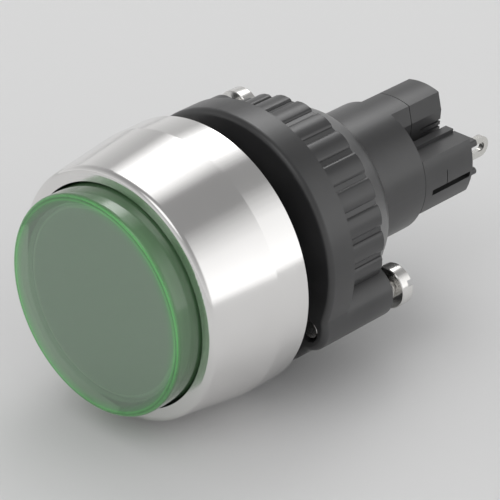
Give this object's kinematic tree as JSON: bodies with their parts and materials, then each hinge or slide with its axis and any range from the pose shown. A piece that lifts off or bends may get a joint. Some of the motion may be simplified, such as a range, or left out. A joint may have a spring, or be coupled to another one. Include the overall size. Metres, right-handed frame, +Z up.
{
  "type": "panel pilot light",
  "caption": "Round panel pilot light with a green lens, a conical metal bezel, a grooved fixing nut with clamp screws, a bayonet lamp socket and two rear tab terminals.",
  "frame": {"origin": "on the light's axis, in the panel's front face, which is the bezel's rear rim", "axes": "+Y along the light's axis towards the terminals, so the lens faces -Y; +Z up, with the fin of the terminal block at the top; +X to the right seen from the front"},
  "size_m": [0.035, 0.0647, 0.035],
  "materials": {
    "bezel_metal": "turned and polished",
    "green_lens": "clear green, smooth",
    "diffuser_white": "pale, satin",
    "seal_rubber": "matt",
    "black_plastic": "moulded, satin",
    "plated_steel": "zinc plated",
    "tinned_brass": "tinned",
    "brass": "bare brass",
    "lamp_metal": "nickel plated",
    "lamp_glass": "clear",
    "lamp_insulator": "black glass",
    "spring_steel": "spring wire"
  },
  "bodies": {
    "front": {"bezel": "bezel_metal", "barrel": "black_plastic", "panel_seal": "seal_rubber", "lens_seal": "seal_rubber", "socket_housing": "black_plastic", "socket_shell": "brass", "terminal_block": "black_plastic", "terminal_right": "tinned_brass", "terminal_left": "tinned_brass", "contact_spring": "spring_steel"},
    "lens": {"lens_cap": "green_lens", "diffuser": "diffuser_white"},
    "lamp": {"lamp_glass": "lamp_glass", "lamp_cap": "lamp_metal", "lamp_insulator": "lamp_insulator", "lamp_contact": "lamp_metal"},
    "plunger": {"contact_plunger": "brass"},
    "nut": {"fixing_nut": "black_plastic"},
    "screw_lower": {"clamp_screw_lower": "plated_steel"},
    "screw_upper": {"clamp_screw_upper": "plated_steel"}
  },
  "joints": [
    {"name": "lens_pull", "type": "slide", "parent": "front", "child": "lens", "axis": [0, -1, 0], "range_m": [0, 0.012]},
    {"name": "lamp_push", "type": "slide", "parent": "front", "child": "lamp", "axis": [0, 1, 0], "range_m": [0, 0.0012], "stiffness_N_per_m": 400, "springref_m": -0.003, "deforming": ["contact_spring"]},
    {"name": "plunger_travel", "type": "slide", "parent": "front", "child": "plunger", "axis": [0, 1, 0], "range_m": [0, 0.0012]},
    {"name": "nut_turn", "type": "hinge", "parent": "front", "child": "nut", "pos_m": [0, 0, 0], "axis": [0, -1, 0], "range_deg": [-2340, 600]},
    {"name": "screw_lower_travel", "type": "slide", "parent": "nut", "child": "screw_lower", "axis": [0, -1, 0], "range_m": [-0.01, 0.0014]},
    {"name": "screw_upper_travel", "type": "slide", "parent": "nut", "child": "screw_upper", "axis": [0, -1, 0], "range_m": [-0.01, 0.0014]}
  ],
  "couplings": [
    {"joint": "plunger_travel", "follows": "lamp_push", "ratio": 1}
  ]
}
